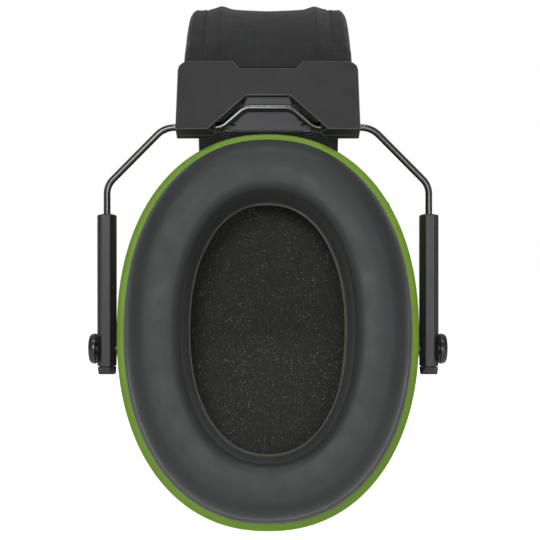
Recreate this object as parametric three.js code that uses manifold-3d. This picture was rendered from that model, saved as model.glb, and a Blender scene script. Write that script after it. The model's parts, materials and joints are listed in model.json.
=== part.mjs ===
// Earmuff hearing protector: a sprung, padded headband carries a clip at each end. A bent wire yoke
// turns in each clip, its two legs slide in two sliders, and an ear cup turns between the sliders.
// Millimetres. +Z is up, +X is the wearer's front, +Y is the wearer's left. The origin is midway
// between the ear cups, on the line of their pivots, with both sides at their shortest setting.
// The right cup is turned over on its pivots, with its cushion facing out. The left cup is as worn.
import * as THREE from "three";
import { mergeVertices } from "three/addons/utils/BufferGeometryUtils.js";
import Module from "manifold-3d";

const wasm = await Module();
wasm.setup();

// ---- driving dimensions ------------------------------------------------------------------------
const GAP = 0.3; // between pieces that touch
const PAST = 1; // how far a cutter runs past the face it opens
const ROUND = 12; // sides of a small round piece
const CUP = { halfWidth: 43, halfHeight: 56.5, rise: 5.1, power: 2.2, segments: 32 };
const RING = { back: 3.6, front: 8.9, width: 5.4, edge: 1.2 };
const SHELL = { back: -20.5, wall: 2.3, inset: 2 };
// The bowl's outside as shares of the cup's half width and half height, at a height over its flat
// back. The inside follows one wall in, and is raised a little where the bowl turns.
const BOWL = [
  { wide: 0.42, tall: 0.5, over: 0, raised: 0 },
  { wide: 0.66, tall: 0.72, over: 1.6, raised: 1.7 },
  { wide: 0.83, tall: 0.865, over: 6, raised: 0.6 },
  { wide: 0.915, tall: 0.935, over: 13, raised: 0 },
];
const LINER_FORM = [
  { wide: 0.58, tall: 0.66, over: 4.4 },
  { wide: 0.735, tall: 0.79, over: 7.6 },
  { wide: 0.83, tall: 0.87, over: 13 },
];
const LINER = { front: 0.5, rim: 0.72, dish: 4.5, seat: 0.5 };
const CUSHION = { front: 23, inset: 3, width: 16.1, flare: 1.7, plate: 1.6, skin: 0.9, edge: 4.6, lap: 1 };
const PIVOT = { side: 62, pin: 1.6, bore: 1.9, start: 39.6 };
const HEAD = { radius: 4.4, depth: 2.3, edge: 0.5, shoulder: 1.2, crown: 3 };
const BOSS = { radius: 3.1, from: 37.5, to: 43.5 };
const WIRE = { radius: 1, legX: 46.6, shoulderX: 30, top: 64.05, shoulder: 47.3, end: 4, sides: 8 };
const WIRE_BEND = { leg: 6, shoulder: 7, crank: 4.5, steps: 4 };
const CRANK = { height: 5.75, topX: 6.8, baseX: 13.5 };
const SLIDER = { top: 38.8, bottom: -4.9, halfWidth: 2.6, halfDepth: 3.2, chamfer: 1.45, rim: 0.3 };
const SLIDER_BORE = { radius: 1.9, end: 2.9, mouth: 2.05 };
const PLUG = { height: 2.2, stem: 1.55, stemLength: 2.2, root: 0.5, taper: 0.09, bevel: 2 };
const BUSH = { outer: 1.75, inner: 1.3, length: 4, proud: 0.2 };
const SLEEVE = { outer: 1.55, inner: 1.3, length: 5 };
const CLIP = { halfWidth: 26.5, bottom: -1.2, height: 22.7, depth: 7.4, corner: 3, split: 4.6 };
const CLIP_LEAN = { face: 28, foot: 16 }; // degrees
const CLIP_WIRE = { up: 1.9, deep: 4, channel: 1.35 };
const RECESS = { floor: 60.7, bottomX: 10.5, bottomZ: 62.9, topX: 6, topZ: 72.9, draft: 1.12 };
const RECESS_CUT = { below: 6, out: 12 };
const GROOVE = { reach: 1.4, outerX: 15.2, floor: 60.55 };
const NOTCH = { topX: 10.2, bottomX: 8.4, depth: 2.5 };
const UNDERCUT = { bottomX: 17.6, bottomZ: 60.9, topX: 14.6, topZ: 63.1, below: 5, reach: 30 };
const FOOT_CUT = { reach: 30, front: -3, behind: 5, drop: 8 };
const SCREW = { x: 16, up: 16.6, shaft: 0.9, head: 1.9, headDepth: 1.1, hole: 1.2, tip: 1.6 };
const SOCKET = { front: 1.3, bottom: 11.9, top: 22, boss: 2.1, side: 0.3 };
const MOUTH = { below: 0.4, above: 8 }; // degrees past the cover's end, and up from it
const BAND = { centre: 39.5, outer: 70, halfWidth: 25, thick: 12, thin: 3.9, endAngle: 51.9, wall: 1 };
const THINNING = { from: 34, to: 46 }; // degrees from the crown
const BAND_STEPS = { cover: 18, pad: 14, spring: 24 };
const BAND_CORNER = { radius: 3, flat: 0.1 };
const SPRING = { radius: 68.2, thickness: 1, halfWidth: 21, endAngle: 59.5, hole: 2.4 };
const PAD = { endAngle: 41, halfWidth: 23.6, outer: 67.4 };
const RIGHT_CUP_TURN = -7; // degrees from upright, with the cushion facing out
const LEFT_CUP_TURN = 180; // as worn, with the cushion facing in

const rad = THREE.MathUtils.degToRad;

// ---- materials ---------------------------------------------------------------------------------
const finish = (color, roughness, metalness = 0) =>
  new THREE.MeshStandardMaterial({ color, roughness, metalness });
const MATERIALS = {
  shell: finish(0x2b2c2d, 0.5),
  green: finish(0x7ba63a, 0.45),
  skin: finish(0x3a3c3e, 0.6),
  softFoam: finish(0x4a4a48, 0.95),
  liner: finish(0x2c2c2a, 0.98),
  clip: finish(0x333434, 0.5),
  slider: finish(0x2e2e30, 0.35),
  pin: finish(0x1c1c1d, 0.25),
  wire: finish(0x2a2a2c, 0.3, 0.8),
  steel: finish(0x9a9da0, 0.35, 1),
  screw: finish(0x55585a, 0.35, 1),
  fabric: finish(0x37393a, 0.95),
  polymer: finish(0x232324, 0.5),
};

// ---- solids ------------------------------------------------------------------------------------
function toSolid(geometry) {
  const bare = geometry.clone();
  bare.deleteAttribute("normal");
  bare.deleteAttribute("uv");
  const merged = mergeVertices(bare, 1e-4);
  return new wasm.Manifold(
    new wasm.Mesh({
      numProp: 3,
      vertProperties: new Float32Array(merged.attributes.position.array),
      triVerts: new Uint32Array(merged.index.array),
    }),
  );
}

function toGeometry(solid) {
  const mesh = solid.getMesh();
  return new THREE.BufferGeometry()
    .setAttribute("position", new THREE.BufferAttribute(mesh.vertProperties, 3))
    .setIndex(new THREE.BufferAttribute(mesh.triVerts, 1));
}

const cut = (geometry, ...tools) =>
  toGeometry(tools.reduce((solid, tool) => solid.subtract(toSolid(tool)), toSolid(geometry)));
const join = (geometry, ...others) =>
  toGeometry(others.reduce((solid, other) => solid.add(toSolid(other)), toSolid(geometry)));

// A closed skin over rings of points, each ring given as [x, y, z] points in the same order. A ring
// of one point closes an end; looped joins the last ring to the first.
function skinOf(rings, looped = false) {
  const positions = rings.flat(2);
  const starts = rings.map((_, i) => rings.slice(0, i).reduce((sum, ring) => sum + ring.length, 0));
  const faces = [];
  const count = looped ? rings.length : rings.length - 1;
  for (let i = 0; i < count; i++) {
    const j = (i + 1) % rings.length;
    const n = Math.max(rings[i].length, rings[j].length);
    for (let k = 0; k < n; k++) {
      const here = [k, (k + 1) % n].map((m) => starts[i] + (m % rings[i].length));
      const next = [k, (k + 1) % n].map((m) => starts[j] + (m % rings[j].length));
      if (here[0] !== here[1]) faces.push(here[0], here[1], next[1]);
      if (next[0] !== next[1]) faces.push(here[0], next[1], next[0]);
    }
  }
  return new THREE.BufferGeometry()
    .setAttribute("position", new THREE.Float32BufferAttribute(positions, 3))
    .setIndex(faces);
}

// One oval ring of a cup. Depth runs towards the cushion, which is -Y in a cup's own frame.
function oval(halfWidth, halfHeight, depth) {
  const ring = [];
  for (let i = 0; i < CUP.segments; i++) {
    const angle = (2 * Math.PI * i) / CUP.segments;
    const bend = (value) => Math.sign(value) * Math.abs(value) ** (2 / CUP.power);
    const x = halfWidth * bend(Math.cos(angle));
    ring.push([x, -depth, CUP.rise + halfHeight * bend(Math.sin(angle))]);
  }
  return ring;
}
const inset = (by, depth) => oval(CUP.halfWidth - by, CUP.halfHeight - by, depth);
const centre = (depth) => [[0, -depth, CUP.rise]];

const cylinderX = (radius, from, to, sides = 16) =>
  new THREE.CylinderGeometry(radius, radius, to - from, sides)
    .rotateZ(Math.PI / 2)
    .translate((from + to) / 2, 0, 0);
const cylinderY = (radius, from, to, sides = 16) =>
  new THREE.CylinderGeometry(radius, radius, to - from, sides).translate(0, (from + to) / 2, 0);
const cylinderZ = (radius, from, to, sides = 16) =>
  new THREE.CylinderGeometry(radius, radius, to - from, sides)
    .rotateX(Math.PI / 2)
    .translate(0, 0, (from + to) / 2);
const box = (x0, x1, y0, y1, z0, z1) =>
  new THREE.BoxGeometry(x1 - x0, y1 - y0, z1 - z0).translate(
    (x0 + x1) / 2,
    (y0 + y1) / 2,
    (z0 + z1) / 2,
  );

// A prism along Y over an outline drawn in X and Z.
function prism(outline, y0, y1) {
  const shape = new THREE.Shape(outline.map(([x, z]) => new THREE.Vector2(x, z)));
  return new THREE.ExtrudeGeometry(shape, { depth: y1 - y0, bevelEnabled: false })
    .rotateX(Math.PI / 2)
    .translate(0, y1, 0);
}

// A tube with square ends, turned about Z.
const pipe = (inner, outer, z0, z1, segments = ROUND) =>
  new THREE.LatheGeometry(
    [[inner, z0], [outer, z0], [outer, z1], [inner, z1], [inner, z0]].map(
      ([r, z]) => new THREE.Vector2(r, z),
    ),
    segments,
  ).rotateX(Math.PI / 2);

const mirrored = (half) => [...half, ...half.map(([x, z]) => [-x, z]).reverse()];

function named(name, geometry, material) {
  const mesh = new THREE.Mesh(geometry, material);
  mesh.name = name;
  return mesh;
}

// ---- headband ----------------------------------------------------------------------------------
// A ring of points across the band at an angle from its crown, from [x, radius] pairs.
const across = (section, angle) =>
  section.map(([x, r]) => [x, r * Math.sin(angle), BAND.centre + r * Math.cos(angle)]);

const stations = (endAngle, steps) =>
  Array.from({ length: steps + 1 }, (_, i) => rad(endAngle * ((2 * i) / steps - 1)));

// The pad is thick over the head and thins out towards the clips.
function thicknessAt(angle) {
  const share = THREE.MathUtils.smoothstep(Math.abs(angle), rad(THINNING.from), rad(THINNING.to));
  return THREE.MathUtils.lerp(BAND.thick, BAND.thin, share);
}

// A flat oblong section with rounded corners, as [x, radius] pairs.
function oblong(halfWidth, inner, outer) {
  const corner = Math.min(BAND_CORNER.radius, (outer - inner - BAND_CORNER.flat) / 2);
  const points = [];
  for (const [sx, r, turn] of [[1, outer, 0], [1, inner, 1], [-1, inner, 2], [-1, outer, 3]]) {
    for (let i = 0; i <= 2; i++) {
      const a = rad(90 - 90 * turn - 45 * i);
      const middle = r === outer ? outer - corner : inner + corner;
      points.push([sx * (halfWidth - corner) + corner * Math.cos(a), middle + corner * Math.sin(a)]);
    }
  }
  return points;
}

function headbandCover() {
  const angles = stations(BAND.endAngle, BAND_STEPS.cover);
  const outside = angles.map((angle) =>
    across(oblong(BAND.halfWidth, BAND.outer - thicknessAt(angle), BAND.outer), angle),
  );
  const inside = angles.map((angle) => {
    const inner = BAND.outer - thicknessAt(angle) + BAND.wall;
    return across(oblong(BAND.halfWidth - BAND.wall, inner, BAND.outer - BAND.wall), angle);
  });
  return skinOf([...outside, ...inside.reverse()], true);
}

function headbandPadFoam() {
  const rings = stations(PAD.endAngle, BAND_STEPS.pad).map((angle) => {
    const inner = BAND.outer - thicknessAt(angle) + BAND.wall + GAP;
    return across(oblong(PAD.halfWidth, inner, PAD.outer), angle);
  });
  const middle = (ring) => {
    const sum = ring.reduce((total, p) => total.map((v, k) => v + p[k]), [0, 0, 0]);
    return [sum.map((v) => v / ring.length)];
  };
  return skinOf([middle(rings[0]), ...rings, middle(rings[rings.length - 1])]);
}

function headbandSpring() {
  const { radius, thickness, halfWidth } = SPRING;
  const inner = radius - thickness / 2;
  const section = [[halfWidth, inner + thickness], [halfWidth, inner]];
  const loop = [...section, ...section.map(([x, r]) => [-x, r]).reverse()];
  const rings = stations(SPRING.endAngle, BAND_STEPS.spring).map((angle) => across(loop, angle));
  const middle = (angle) => across([[0, radius]], angle);
  const blade = skinOf([middle(rad(-SPRING.endAngle)), ...rings, middle(rad(SPRING.endAngle))]);
  const holes = [0, Math.PI].flatMap((turn) =>
    [-SCREW.x, SCREW.x].map((x) => {
      const hole = cylinderY(SPRING.hole, -PAST, CLIP.depth + PAST, ROUND).translate(x, 0, SCREW.up);
      return hole.applyMatrix4(clipFrame().matrix).rotateZ(turn);
    }),
  );
  return cut(blade, ...holes);
}

// ---- clip --------------------------------------------------------------------------------------
// The clip leans with the band. In its own frame its face is at Y = 0, +Y goes into it, and +Z runs
// up the face from its lower edge. The wire lies at a fixed place inside it.
function clipFrame() {
  const frame = new THREE.Group();
  const lean = rad(CLIP_LEAN.face);
  const { up, deep } = CLIP_WIRE;
  frame.rotation.x = -lean;
  frame.position.y = -(PIVOT.side + up * Math.sin(lean) + deep * Math.cos(lean));
  frame.position.z = WIRE.top - up * Math.cos(lean) + deep * Math.sin(lean);
  frame.updateMatrix();
  return frame;
}

const clipOutline = () => {
  const { halfWidth, bottom, height, corner } = CLIP;
  const round = [0, 30, 60, 90].map((degrees) => [
    halfWidth - corner + corner * Math.cos(rad(degrees)),
    height - corner + corner * Math.sin(rad(degrees)),
  ]);
  const notch = [[NOTCH.topX, height], [NOTCH.bottomX, height - NOTCH.depth]];
  return mirrored([[halfWidth, bottom], ...round, ...notch]);
};

// The recess for the crank. Its floor is square to the yoke's plane and its walls lean outwards.
function clipRecess() {
  const { floor, bottomX, bottomZ, topX, topZ, draft } = RECESS;
  const slope = (topX - bottomX) / (topZ - bottomZ);
  const low = bottomZ - RECESS_CUT.below;
  const ring = (out) => {
    const high = topZ + out;
    const xAt = (z) => topX + slope * (z - topZ) + draft * out;
    const half = [[xAt(low), low], [xAt(high), high]];
    return mirrored(half).map(([x, z]) => [x, -floor - out, z]);
  };
  const end = (out) => [[0, -floor - out, (low + topZ) / 2]];
  return skinOf([end(0), ring(0), ring(RECESS_CUT.out), end(RECESS_CUT.out)]);
}

// A groove along one slanted run of the crank, open to the front, so that the yoke can swing.
function clipGroove(way) {
  const { reach, outerX, floor } = GROOVE;
  const run = new THREE.Vector2(CRANK.topX - CRANK.baseX, CRANK.height).normalize();
  const [across, along] = [run.y * reach, -run.x * reach];
  const [base, crown] = [CRANK.baseX, CRANK.topX];
  const outline = [
    [outerX, WIRE.top - reach],
    [outerX, WIRE.top + reach],
    [base + across / 2, WIRE.top + reach],
    [crown + across, WIRE.top + CRANK.height + along],
    [crown - across, WIRE.top + CRANK.height - along],
    [base - across / 2, WIRE.top - reach],
  ];
  return prism(outline.map(([x, z]) => [way * x, z]), -PIVOT.side - RECESS_CUT.out, -floor);
}

// The cuts that are placed by the yoke, brought into the clip's own frame.
function clipCuts() {
  const { bottomX, bottomZ, topX, topZ, below, reach } = UNDERCUT;
  const slope = (topX - bottomX) / (topZ - bottomZ);
  const low = bottomZ - below;
  const under = mirrored([[bottomX + slope * (low - bottomZ), low], [topX, topZ]]);
  const { reach: wide, front, behind, drop } = FOOT_CUT;
  const foot = box(-wide, wide, front, CLIP.depth + behind, -drop, 0)
    .rotateX(rad(CLIP_LEAN.face - CLIP_LEAN.foot))
    .translate(0, 0, CLIP.bottom);
  const placed = [
    clipRecess(),
    clipGroove(1),
    clipGroove(-1),
    prism(under, -PIVOT.side - reach, -PIVOT.side + reach),
  ];
  const into = clipFrame().matrix.invert();
  return [foot, ...placed.map((cutter) => cutter.applyMatrix4(into))];
}

// The mouth that takes the end of the padded cover, and follows its curve.
function clipMouth() {
  const middle = BAND.outer - BAND.thin / 2;
  const side = BAND.halfWidth + GAP;
  const half = [[side, BAND.outer + GAP], [side, BAND.outer - BAND.thin - GAP]];
  const section = [...half, ...half.map(([x, r]) => [-x, r]).reverse()];
  const [bottom, top] = [-BAND.endAngle - MOUTH.below, -BAND.endAngle + MOUTH.above];
  const rings = [bottom, (bottom + top) / 2, top].map((degrees) => across(section, rad(degrees)));
  const end = (degrees) => across([[0, middle]], rad(degrees));
  return skinOf([end(bottom), ...rings, end(top)]).applyMatrix4(clipFrame().matrix.invert());
}

// The pocket that takes the end of the spring. Two bosses stand in it and pass through the spring.
function clipSocket() {
  const { front, bottom, top, boss, side } = SOCKET;
  const reach = SPRING.halfWidth + side;
  const bosses = [-SCREW.x, SCREW.x].map((x) =>
    cylinderY(boss, front - PAST, CLIP.split + 2 * PAST, ROUND).translate(x, 0, SCREW.up),
  );
  return cut(box(-reach, reach, front, CLIP.split + PAST, bottom, top), ...bosses);
}

function clipCover() {
  const { halfWidth, split } = CLIP;
  const { up, deep, channel } = CLIP_WIRE;
  const wide = halfWidth + PAST;
  return cut(
    prism(clipOutline(), 0, split),
    ...clipCuts(),
    clipMouth(),
    clipSocket(),
    cylinderX(channel, -wide, wide).translate(0, deep, up),
    box(-wide, wide, deep, split + PAST, up - channel, up + channel),
    ...[-SCREW.x, SCREW.x].map((x) =>
      cylinderY(SCREW.hole, SOCKET.front, split + PAST, ROUND).translate(x, 0, SCREW.up),
    ),
  );
}

function clipBase() {
  const { halfWidth, split, depth } = CLIP;
  const { up, deep, channel } = CLIP_WIRE;
  const wide = halfWidth + PAST;
  return cut(
    prism(clipOutline(), split + GAP, depth),
    ...clipCuts(),
    clipMouth(),
    cylinderX(channel, -wide, wide).translate(0, deep, up),
    ...[-SCREW.x, SCREW.x].flatMap((x) => [
      cylinderY(SCREW.hole, split - PAST, depth + PAST, ROUND).translate(x, 0, SCREW.up),
      cylinderY(SCREW.head + GAP, depth - SCREW.headDepth - GAP, depth + PAST, ROUND).translate(
        x,
        0,
        SCREW.up,
      ),
    ]),
  );
}

// A screw, its head flush with the clip's inner face.
function clipScrew() {
  const profile = [
    [0, SCREW.tip],
    [SCREW.shaft, SCREW.tip],
    [SCREW.shaft, CLIP.depth - SCREW.headDepth],
    [SCREW.head, CLIP.depth - SCREW.headDepth],
    [SCREW.head, CLIP.depth],
    [0, CLIP.depth],
  ];
  return new THREE.LatheGeometry(profile.map(([r, y]) => new THREE.Vector2(r, y)), ROUND);
}

function buildClip(side, ends) {
  const clip = clipFrame();
  clip.add(named(`${side}_clip_cover`, clipCover(), MATERIALS.clip));
  clip.add(named(`${side}_clip_base`, clipBase(), MATERIALS.clip));
  for (const [end, way] of ends) {
    const screw = named(`${end}_clip_screw`, clipScrew(), MATERIALS.screw);
    screw.position.set(way * SCREW.x, 0, SCREW.up);
    clip.add(screw);
  }
  return clip;
}

// ---- yoke --------------------------------------------------------------------------------------
// A flat wire of straight runs and round bends. Its steps fall on the bends, so that straight runs
// take one step each.
class BentWire extends THREE.Curve {
  constructor(corners, perBend) {
    super();
    this.stops = [];
    corners.forEach(({ at, bend }, i) => {
      if (!bend) {
        this.stops.push({ point: at, along: this.towards(corners, i) });
        return;
      }
      const arrive = at.clone().sub(corners[i - 1].at).normalize();
      const leave = corners[i + 1].at.clone().sub(at).normalize();
      const turn = arrive.angleTo(leave);
      const reach = bend * Math.tan(turn / 2);
      const start = at.clone().addScaledVector(arrive, -reach);
      const normal = leave.clone().addScaledVector(arrive, -leave.dot(arrive)).normalize();
      for (let k = 0; k <= perBend; k++) {
        const a = (turn * k) / perBend;
        const point = start
          .clone()
          .addScaledVector(arrive, bend * Math.sin(a))
          .addScaledVector(normal, bend * (1 - Math.cos(a)));
        const along = arrive
          .clone()
          .multiplyScalar(Math.cos(a))
          .addScaledVector(normal, Math.sin(a));
        this.stops.push({ point, along });
      }
    });
  }

  towards(corners, i) {
    const [from, to] = i === 0 ? [0, 1] : [i - 1, i];
    return corners[to].at.clone().sub(corners[from].at).normalize();
  }

  get steps() {
    return this.stops.length - 1;
  }

  stopAt(share) {
    return this.stops[Math.round(share * this.steps)];
  }

  getPointAt(share) {
    return this.stopAt(share).point.clone();
  }

  getTangentAt(share, target = new THREE.Vector3()) {
    return target.copy(this.stopAt(share).along);
  }

  getSpacedPoints() {
    return this.stops.map(({ point }) => point.clone());
  }
}

function yokeWire() {
  const { legX, shoulderX, top, shoulder, end, radius, sides } = WIRE;
  const half = [
    { at: [legX, end] },
    { at: [legX, shoulder], bend: WIRE_BEND.leg },
    { at: [shoulderX, top], bend: WIRE_BEND.shoulder },
    { at: [CRANK.baseX, top], bend: WIRE_BEND.crank },
    { at: [CRANK.topX, top + CRANK.height], bend: WIRE_BEND.crank },
  ];
  const other = half.map(({ at: [x, z], bend }) => ({ at: [-x, z], bend })).reverse();
  const corners = [...half, ...other].map(({ at: [x, z], bend }) => ({
    at: new THREE.Vector3(x, 0, z),
    bend,
  }));
  const path = new BentWire(corners, WIRE_BEND.steps);
  const circle = new THREE.Shape(
    Array.from({ length: sides }, (_, i) => {
      const angle = (2 * Math.PI * (i + 0.5)) / sides;
      return new THREE.Vector2(radius * Math.cos(angle), radius * Math.sin(angle));
    }),
  );
  return new THREE.ExtrudeGeometry(circle, { steps: path.steps, extrudePath: path });
}

function buildYoke(side, ends) {
  const yoke = new THREE.Group();
  yoke.add(named(`${side}_yoke_wire`, yokeWire(), MATERIALS.wire));
  for (const [end, way] of ends) {
    const tube = pipe(SLEEVE.inner, SLEEVE.outer, WIRE.end, WIRE.end + SLEEVE.length);
    const sleeve = named(`${end}_wire_sleeve`, tube, MATERIALS.polymer);
    sleeve.position.x = way * WIRE.legX;
    yoke.add(sleeve);
  }
  return yoke;
}

// ---- sliders -----------------------------------------------------------------------------------
// The slider's eight-sided section, in X and Y.
const sliderSection = (shrink = 0) => {
  const w = SLIDER.halfWidth - shrink;
  const d = SLIDER.halfDepth - shrink;
  const c = SLIDER.chamfer;
  return [
    [w, d - c], [w - c, d], [c - w, d], [-w, d - c],
    [-w, c - d], [c - w, -d], [w - c, -d], [w, c - d],
  ];
};

function sliderBody() {
  const { top, bottom, rim } = SLIDER;
  const { radius, end, mouth } = SLIDER_BORE;
  const ring = (z, shrink = 0) => sliderSection(shrink).map(([x, y]) => [x, y, z]);
  const rings = [[[0, 0, bottom]], ring(bottom), ring(top - rim), ring(top, rim), [[0, 0, top]]];
  return cut(
    skinOf(rings),
    cylinderZ(radius, end, top + PAST),
    cylinderZ(mouth, top + BUSH.proud - BUSH.length - GAP, top + PAST),
    cylinderX(PIVOT.bore, -SLIDER.halfWidth - PAST, SLIDER.halfWidth + PAST),
    cylinderZ(PLUG.stem + GAP, bottom - PAST, bottom + PLUG.stemLength + GAP),
  );
}

// The plug that closes a slider's lower end, with a long bevel on its outer side.
function sliderPlug() {
  const head = SLIDER.bottom - GAP;
  const foot = head - PLUG.height;
  const ring = (z, share) =>
    sliderSection().map(([x, y]) => {
      const front = share * PLUG.bevel - SLIDER.halfDepth;
      return [x * (1 - share * PLUG.taper), Math.max(y, front), z];
    });
  const rings = [[[0, PLUG.bevel / 2, foot]], ring(foot, 1), ring(head, 0), [[0, 0, head]]];
  const stem = cylinderZ(PLUG.stem, head - PLUG.root, SLIDER.bottom + PLUG.stemLength, ROUND);
  return join(skinOf(rings), stem);
}

function buildSliders(ends) {
  const sliders = new THREE.Group();
  const bushTop = SLIDER.top + BUSH.proud;
  for (const [end, way] of ends) {
    const x = way * WIRE.legX;
    const bush = pipe(BUSH.inner, BUSH.outer, bushTop - BUSH.length, bushTop);
    const pieces = [
      named(`${end}_slider`, sliderBody(), MATERIALS.slider),
      named(`${end}_slider_bush`, bush, MATERIALS.polymer),
      named(`${end}_slider_plug`, sliderPlug(), MATERIALS.slider),
    ];
    for (const piece of pieces) piece.position.x = x;
    sliders.add(...pieces);
  }
  return sliders;
}

// ---- ear cup -----------------------------------------------------------------------------------
function cupShell() {
  const rim = RING.back - GAP;
  const { back, wall, inset: rimInset } = SHELL;
  const { halfWidth, halfHeight } = CUP;
  const outside = BOWL.map(({ wide, tall, over }) =>
    oval(halfWidth * wide, halfHeight * tall, back + over),
  );
  const inside = BOWL.slice(1).map(({ wide, tall, over, raised }) =>
    oval(halfWidth * wide - wall, halfHeight * tall - wall, back + over + raised),
  );
  const bowl = skinOf([
    centre(back),
    ...outside,
    inset(rimInset, rim),
    inset(rimInset + wall, rim),
    ...inside.reverse(),
    centre(back + wall),
  ]);
  const bosses = [
    cylinderX(BOSS.radius, BOSS.from, BOSS.to),
    cylinderX(BOSS.radius, -BOSS.to, -BOSS.from),
  ];
  return cut(join(bowl, ...bosses), cylinderX(PIVOT.bore, -BOSS.to - PAST, BOSS.to + PAST));
}

function cupRing() {
  const { back, front, width, edge } = RING;
  return skinOf(
    [
      inset(width, back),
      inset(edge, back),
      inset(0, back + edge),
      inset(0, front - edge),
      inset(edge, front),
      inset(width, front),
    ],
    true,
  );
}

// The absorbing foam fills the bowl behind the ear, dished in front.
function foamLiner() {
  const { halfWidth, halfHeight } = CUP;
  const { front, rim, dish, seat } = LINER;
  const body = LINER_FORM.map(({ wide, tall, over }) =>
    oval(halfWidth * wide, halfHeight * tall, SHELL.back + over),
  );
  const { wide, tall } = LINER_FORM[LINER_FORM.length - 1];
  return skinOf([
    centre(SHELL.back + SHELL.wall + seat),
    ...body,
    oval(halfWidth * wide, halfHeight * tall, front),
    oval(halfWidth * wide * rim, halfHeight * tall * rim, front - dish * rim),
    centre(front - dish),
  ]);
}

function cushionPlate() {
  const back = RING.front + GAP;
  const { inset: outer, width, flare, plate, lap } = CUSHION;
  const inner = outer + width + flare;
  return skinOf(
    [
      inset(inner, back),
      inset(outer + lap, back),
      inset(outer + lap, back + plate),
      inset(inner, back + plate),
    ],
    true,
  );
}

// A cushion's cross-section from its outer foot over the top to its inner foot, shrunk evenly.
function cushionArch(shrink) {
  const { front, inset: outer, width, flare, edge } = CUSHION;
  const foot = RING.front + GAP + CUSHION.plate + GAP;
  const corner = (x, turn) =>
    [0, 30, 60, 90].map((degrees) => {
      const a = rad(turn ? 90 - degrees : degrees);
      const r = edge - shrink;
      return [x + (turn ? 1 : -1) * r * Math.cos(a), front - edge + r * Math.sin(a)];
    });
  return [
    [outer + shrink, foot],
    ...corner(outer + edge, false),
    ...corner(outer + width - edge, true),
    [outer + width + flare - shrink, foot],
  ];
}

const cushionFoam = () =>
  skinOf(cushionArch(CUSHION.skin + GAP).map(([by, depth]) => inset(by, depth)), true);

function cushionSkin() {
  const outside = cushionArch(0);
  const inside = cushionArch(CUSHION.skin).reverse();
  return skinOf([...outside, ...inside].map(([by, depth]) => inset(by, depth)), true);
}

// A pivot pin, its round head outside the slider and its shaft in the shell's boss.
function pivotPin() {
  const seat = WIRE.legX + SLIDER.halfWidth + GAP;
  const { radius, depth, edge, shoulder, crown } = HEAD;
  const profile = [
    [0, PIVOT.start],
    [PIVOT.pin, PIVOT.start],
    [PIVOT.pin, seat],
    [radius, seat],
    [radius, seat + depth - shoulder],
    [radius - edge, seat + depth - edge],
    [crown, seat + depth],
    [0, seat + depth],
  ];
  return new THREE.LatheGeometry(profile.map(([r, y]) => new THREE.Vector2(r, y)), 16).rotateZ(
    -Math.PI / 2,
  );
}

function buildCup(side, ends, turn) {
  const cup = new THREE.Group();
  cup.rotation.x = rad(turn);
  cup.add(
    named(`${side}_cup_shell`, cupShell(), MATERIALS.shell),
    named(`${side}_cup_ring`, cupRing(), MATERIALS.green),
    named(`${side}_cup_foam_liner`, foamLiner(), MATERIALS.liner),
    named(`${side}_cushion_plate`, cushionPlate(), MATERIALS.polymer),
    named(`${side}_cushion_foam`, cushionFoam(), MATERIALS.softFoam),
    named(`${side}_cushion_skin`, cushionSkin(), MATERIALS.skin),
  );
  for (const [end, way] of ends) {
    const pin = named(`${end}_pivot_pin`, pivotPin(), MATERIALS.pin);
    if (way < 0) pin.rotation.z = Math.PI;
    cup.add(pin);
  }
  return cup;
}

// ---- the whole earmuff -------------------------------------------------------------------------
// Each side is built with its outer face towards -Y, as the right side lies. The left side is then
// turned half round, which swaps its front and its rear.
function buildSide(side, frontWay, cupTurn) {
  const ends = [[`${side}_front`, frontWay], [`${side}_rear`, -frontWay]];
  const whole = new THREE.Group();
  const hung = new THREE.Group();
  hung.position.y = -PIVOT.side;
  hung.add(buildYoke(side, ends), buildSliders(ends), buildCup(side, ends, cupTurn));
  whole.add(buildClip(side, ends), hung);
  return whole;
}

const earmuff = new THREE.Group();
earmuff.add(
  named("headband_spring", headbandSpring(), MATERIALS.steel),
  named("headband_pad_foam", headbandPadFoam(), MATERIALS.softFoam),
  named("headband_cover", headbandCover(), MATERIALS.fabric),
);
const right = buildSide("right", 1, RIGHT_CUP_TURN);
const left = buildSide("left", -1, LEFT_CUP_TURN);
left.rotation.z = Math.PI;
earmuff.add(right, left);

export default earmuff;
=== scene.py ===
"""Looks for an earmuff hearing protector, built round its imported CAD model. Metres, +Z up.

Each ear cup is drawn in its own frame: X along the pivots, depth from the pivots towards the
cushion, and height from the pivots towards the far end of the oval.
"""
import json
from math import acos, copysign, cos, exp, pi, radians, sin, tan

import bmesh
import bpy
from mathutils import Matrix, Vector, noise


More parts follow.
